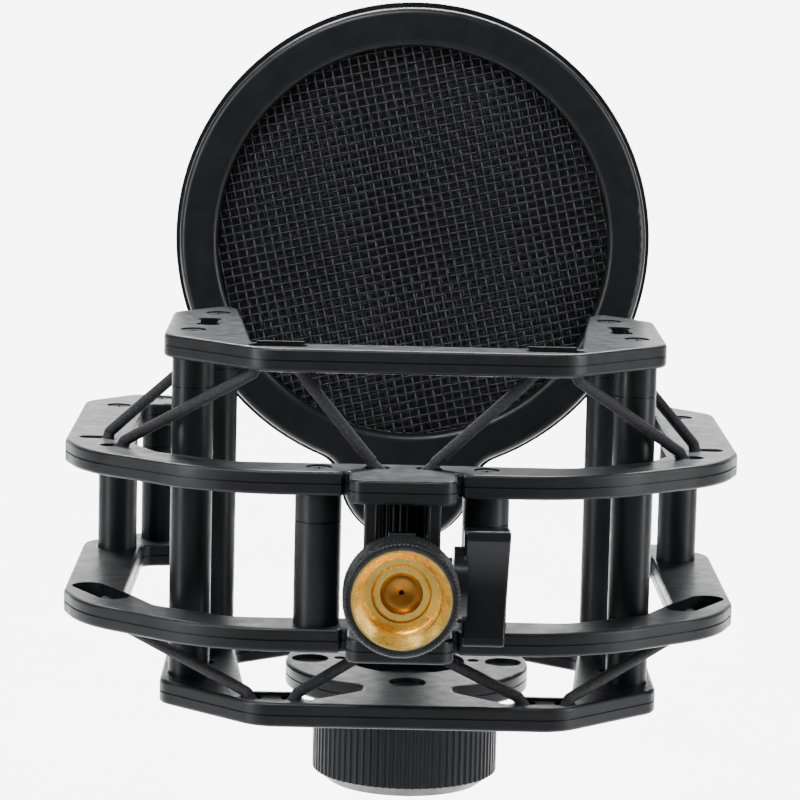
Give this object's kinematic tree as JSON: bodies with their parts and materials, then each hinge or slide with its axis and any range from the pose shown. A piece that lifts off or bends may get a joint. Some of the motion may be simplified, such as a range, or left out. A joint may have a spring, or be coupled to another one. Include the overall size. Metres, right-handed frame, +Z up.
{
  "type": "microphone shock mount with pop filter",
  "caption": "Microphone shock mount: a cradle hung on elastic cord in an outer frame, with a tilting stand socket, a fluted locking ring and a round mesh pop filter.",
  "frame": {"origin": "on the microphone's axis, at the top face of the cradle's lower plate, in the mouth of the hub bore", "axes": "+Z up along the microphone's axis, -Y toward the stand socket, +Y toward the pop filter, +X to the clamp lever's side"},
  "size_m": [0.1402, 0.1421, 0.1626],
  "materials": {
    "frame_plastic": "satin moulded black plastic",
    "cradle_plastic": "satin moulded black plastic",
    "dark_steel": "blackened steel",
    "lever_plastic": "glossy black plastic",
    "socket_metal": "black satin metal",
    "brass": "turned brass",
    "nut_plastic": "satin moulded black plastic",
    "nut_thread": "dark plated metal",
    "filter_plastic": "satin moulded black plastic",
    "filter_mesh": "black coated woven wire",
    "bracket_metal": "black powder coat",
    "elastic_cord": "braided black elastic cord"
  },
  "bodies": {
    "stand_socket": {"socket_tongue": "socket_metal", "socket_barrel": "socket_metal", "socket_insert": "brass", "socket_bush": "brass"},
    "outer_frame": {"outer_ring_upper": "frame_plastic", "outer_ring_lower": "frame_plastic", "outer_post_centre_left": "frame_plastic", "outer_post_centre_right": "frame_plastic", "outer_post_near_left": "frame_plastic", "outer_post_near_right": "frame_plastic", "outer_post_far_left": "frame_plastic", "outer_post_far_right": "frame_plastic", "outer_screw_centre_left": "dark_steel", "outer_screw_centre_right": "dark_steel", "outer_screw_near_left": "dark_steel", "outer_screw_near_right": "dark_steel", "outer_screw_far_left": "dark_steel", "outer_screw_far_right": "dark_steel", "yoke_ear_left": "frame_plastic", "yoke_ear_right": "frame_plastic", "yoke_web": "frame_plastic", "pivot_bolt": "dark_steel", "lever_washer": "dark_steel", "elastic_upper": "elastic_cord", "elastic_lower": "elastic_cord"},
    "clamp_lever": {"clamp_lever": "lever_plastic"},
    "cradle": {"cradle_plate_upper": "cradle_plastic", "cradle_plate_lower": "cradle_plastic", "cradle_post_near_left": "cradle_plastic", "cradle_post_near_right": "cradle_plastic", "cradle_post_far_left": "cradle_plastic", "cradle_post_far_right": "cradle_plastic", "cradle_screw_near_left": "dark_steel", "cradle_screw_near_right": "dark_steel", "cradle_screw_far_left": "dark_steel", "cradle_screw_far_right": "dark_steel", "pop_bracket": "bracket_metal", "bracket_screw_front": "dark_steel", "bracket_screw_back": "dark_steel"},
    "locking_nut": {"locking_nut": "nut_plastic", "nut_insert": "nut_thread"},
    "pop_filter": {"pop_bezel": "filter_plastic", "pop_shell": "filter_plastic", "pop_spacer": "filter_plastic", "pop_mesh_front": "filter_mesh", "pop_mesh_back": "filter_mesh"},
    "pop_thumbscrew": {"pop_thumbscrew": "bracket_metal"}
  },
  "joints": [
    {"name": "stand_tilt", "type": "hinge", "parent": "stand_socket", "child": "outer_frame", "pos_m": [-0.0022, -0.048, 0.0263], "axis": [1, 0, 0], "range_deg": [-15, 22]},
    {"name": "lever_turn", "type": "hinge", "parent": "outer_frame", "child": "clamp_lever", "pos_m": [-0.0022, -0.048, 0.0263], "axis": [1, 0, 0], "range_deg": [-22, 14]},
    {"name": "cradle_float", "type": "slide", "parent": "outer_frame", "child": "cradle", "axis": [0, 0, 1], "range_m": [-0.003, 0.003], "stiffness_N_per_m": 1500, "springref_m": 0.0016, "deforming": ["elastic_upper", "elastic_lower"]},
    {"name": "nut_spin", "type": "hinge", "parent": "cradle", "child": "locking_nut", "pos_m": [0, 0, -0.0144], "axis": [0, 0, 1], "continuous": true},
    {"name": "filter_swing", "type": "hinge", "parent": "cradle", "child": "pop_filter", "pos_m": [0, 0.0607, 0.0298], "axis": [0, 1, 0], "range_deg": [-60, 60]},
    {"name": "thumbscrew_turn", "type": "hinge", "parent": "cradle", "child": "pop_thumbscrew", "pos_m": [0, 0.072, 0.0298], "axis": [0, 1, 0], "continuous": true}
  ]
}
